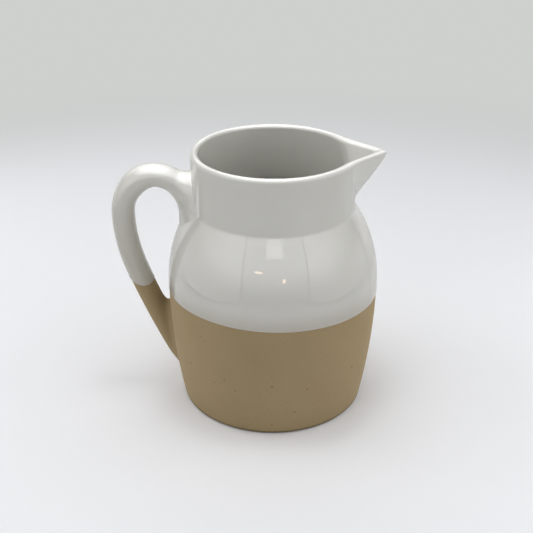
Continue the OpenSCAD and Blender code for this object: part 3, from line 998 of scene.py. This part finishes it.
def tent_walls(tree, around, height):
    """Glow of the cloth walls: brighter upwards, dimmer to the back, bright overhead and high at the back."""
    walls, top, back_dim, back_share = (
        add(tree, "ShaderNodeMapRange", {"Value": height, **ramp}, interpolation_type=kind).outputs["Result"]
        for ramp, kind in (
            (WALL_GLOW_BY_HEIGHT, "SMOOTHSTEP"), (TOP_GLOW_BY_HEIGHT, "SMOOTHSTEP"),
            (BACK_DIM_BY_HEIGHT, "LINEAR"), (BACK_SHARE_BY_HEIGHT, "SMOOTHSTEP"),
        )
    )
    dim, back = (
        add(
            tree, "ShaderNodeMapRange", {"Value": around, **ramp}, interpolation_type="SMOOTHSTEP"
        ).outputs["Result"]
        for ramp in ({**WALL_DIM_BY_TURN, "To Max": back_dim}, BACK_GLOW_BY_TURN)
    )
    glow = add(tree, "ShaderNodeMath", {0: walls, 1: dim, 2: top}, operation="MULTIPLY_ADD")
    glow = add(
        tree, "ShaderNodeMath", {0: back, 1: back_share, 2: glow.outputs["Value"]}, operation="MULTIPLY_ADD"
    )
    return glow.outputs["Value"]


def tent_seams(tree, glow, turn, height):
    """The glow, dimmed along the seams, which splay apart with the square of the height above level."""
    up = add(tree, "ShaderNodeMath", {0: height, 1: 0.0}, operation="MAXIMUM").outputs["Value"]
    rise = add(tree, "ShaderNodeMath", {0: up, 1: up}, operation="MULTIPLY").outputs["Value"]
    for level_turn, splay, half in SEAMS:
        seam = add(tree, "ShaderNodeMath", {0: rise, 1: splay, 2: level_turn}, operation="MULTIPLY_ADD")
        off = add(tree, "ShaderNodeMath", {0: turn, 1: seam.outputs["Value"]}, operation="SUBTRACT")
        off = add(tree, "ShaderNodeMath", {0: off.outputs["Value"]}, operation="ABSOLUTE")
        share = add(
            tree, "ShaderNodeMapRange",
            {"Value": off.outputs["Value"], "From Min": (1 - SEAM_EDGE_SHARE) * half,
             "From Max": (1 + SEAM_EDGE_SHARE) * half, "To Min": SEAM_DIM},
        )
        glow = add(
            tree, "ShaderNodeMath", {0: glow, 1: share.outputs["Result"]}, operation="MULTIPLY"
        ).outputs["Value"]
    return glow


def tent_hem(tree, glow, around, height):
    """The glow above the hem and the ground's below it, with a dark line between them that fades out at the
    front opening and at the back, where the step between wall and ground is soft too."""
    hem_height, blur, ground, front_end, back_end = (
        add(tree, "ShaderNodeMapRange", {"Value": around, **ramp}).outputs["Result"]
        for ramp in (
            HEM_HEIGHT_BY_TURN, HEM_BLUR_BY_TURN, GROUND_GLOW_BY_TURN, HEM_FRONT_END, HEM_BACK_END
        )
    )
    above = add(tree, "ShaderNodeMath", {0: height, 1: hem_height}, operation="SUBTRACT").outputs["Value"]
    below = add(tree, "ShaderNodeMath", {0: blur, 1: -1.0}, operation="MULTIPLY")
    share = add(
        tree, "ShaderNodeMapRange", {"Value": above, "From Min": below.outputs["Value"], "From Max": blur}
    )
    glow = add(tree, "ShaderNodeMix", {0: share.outputs["Result"], 2: ground, 3: glow}, data_type="FLOAT")
    off = add(tree, "ShaderNodeMath", {0: above}, operation="ABSOLUTE")
    faint = add(tree, "ShaderNodeMath", {0: front_end, 1: back_end}, operation="MAXIMUM")
    dim = add(
        tree, "ShaderNodeMapRange",
        {"Value": off.outputs["Value"], **HEM_LINE, "To Min": faint.outputs["Value"]},
    )
    return add(
        tree, "ShaderNodeMath", {0: glow.outputs[0], 1: dim.outputs["Result"]}, operation="MULTIPLY"
    ).outputs["Value"]


def light_tent(tree):
    """The inside of a light tent: cloth walls with a dark hem at the floor, brighter overhead, a front
    opening between two seams, a lamp behind it, a light strip in the back left corner, and two small warm
    lamps."""
    turn, around, height = tent_directions(tree)
    glow = tent_seams(tree, tent_walls(tree, around, height), turn, height)
    for patch, more in FRONT_PATCHES:
        mask = tent_patch(tree, turn, height, patch)
        glow = add(
            tree, "ShaderNodeMath", {0: mask, 1: more, 2: glow}, operation="MULTIPLY_ADD"
        ).outputs["Value"]
    glow = tent_hem(tree, glow, around, height)
    strip = tent_patch(tree, turn, height, CORNER_STRIP)
    glow = add(
        tree, "ShaderNodeMath", {0: strip, 1: CORNER_STRIP_GLOW, 2: glow}, operation="MULTIPLY_ADD"
    )
    bulbs = [tent_patch(tree, turn, height, lamp) for lamp in WARM_LAMPS]
    warm = add(tree, "ShaderNodeMath", {0: bulbs[0], 1: bulbs[1]}, operation="ADD")
    warm = add(tree, "ShaderNodeMath", {0: warm.outputs["Value"], 1: WARM_GLOW}, operation="MULTIPLY")
    shown = [
        add(
            tree, "ShaderNodeBackground", {"Color": srgb(colour), "Strength": strength.outputs["Value"]}
        ).outputs["Background"]
        for colour, strength in (("#FFFFFF", glow), ("#FFD7B0", warm))
    ]
    return add(tree, "ShaderNodeAddShader", {0: shown[0], 1: shown[1]}).outputs["Shader"]


def make_world():
    """Quiet light from all round. The eye sees the far floor's grey; gloss sees inside a light tent."""
    world = bpy.data.worlds.new("studio")
    bpy.context.scene.world = world
    world.use_nodes = True
    tree = world.node_tree
    tree.nodes.clear()
    path = add(tree, "ShaderNodeLightPath")
    fill = add(tree, "ShaderNodeBackground", {"Color": srgb("#FFFFFF"), "Strength": FILL_GLOW})
    haze = add(tree, "ShaderNodeBackground", {"Color": srgb(HAZE)})
    lit = add(
        tree, "ShaderNodeMixShader",
        {0: path.outputs["Is Glossy Ray"], 1: fill.outputs["Background"], 2: light_tent(tree)},
    )
    seen = add(
        tree, "ShaderNodeMath", {0: path.outputs["Is Camera Ray"], 1: path.outputs["Is Transmission Ray"]},
        operation="MAXIMUM",
    )
    view = add(
        tree, "ShaderNodeMixShader",
        {0: seen.outputs["Value"], 1: lit.outputs["Shader"], 2: haze.outputs["Background"]},
    )
    add(tree, "ShaderNodeOutputWorld", {"Surface": view.outputs["Shader"]})


def make_camera():
    """The camera at the photograph's place: turned about Z, tipped down, and rolled about its own view."""
    lens = bpy.data.cameras.new("camera")
    lens.lens = CAMERA_LENS
    lens.sensor_width = CAMERA_SENSOR
    camera = bpy.data.objects.new("camera", lens)
    camera.matrix_world = (
        Matrix.Translation(CAMERA_AT)
        @ Matrix.Rotation(CAMERA_TURN, 4, "Z")
        @ Matrix.Rotation(np.pi / 2 - CAMERA_PITCH, 4, "X")
        @ Matrix.Rotation(CAMERA_ROLL, 4, "Z")
    )
    bpy.context.scene.collection.objects.link(camera)
    bpy.context.scene.camera = camera


dress_jug()
make_floor()
make_world()
for lamp in LAMPS:
    soft_box(*lamp)
make_camera()
bpy.context.scene.view_settings.view_transform = "Standard"
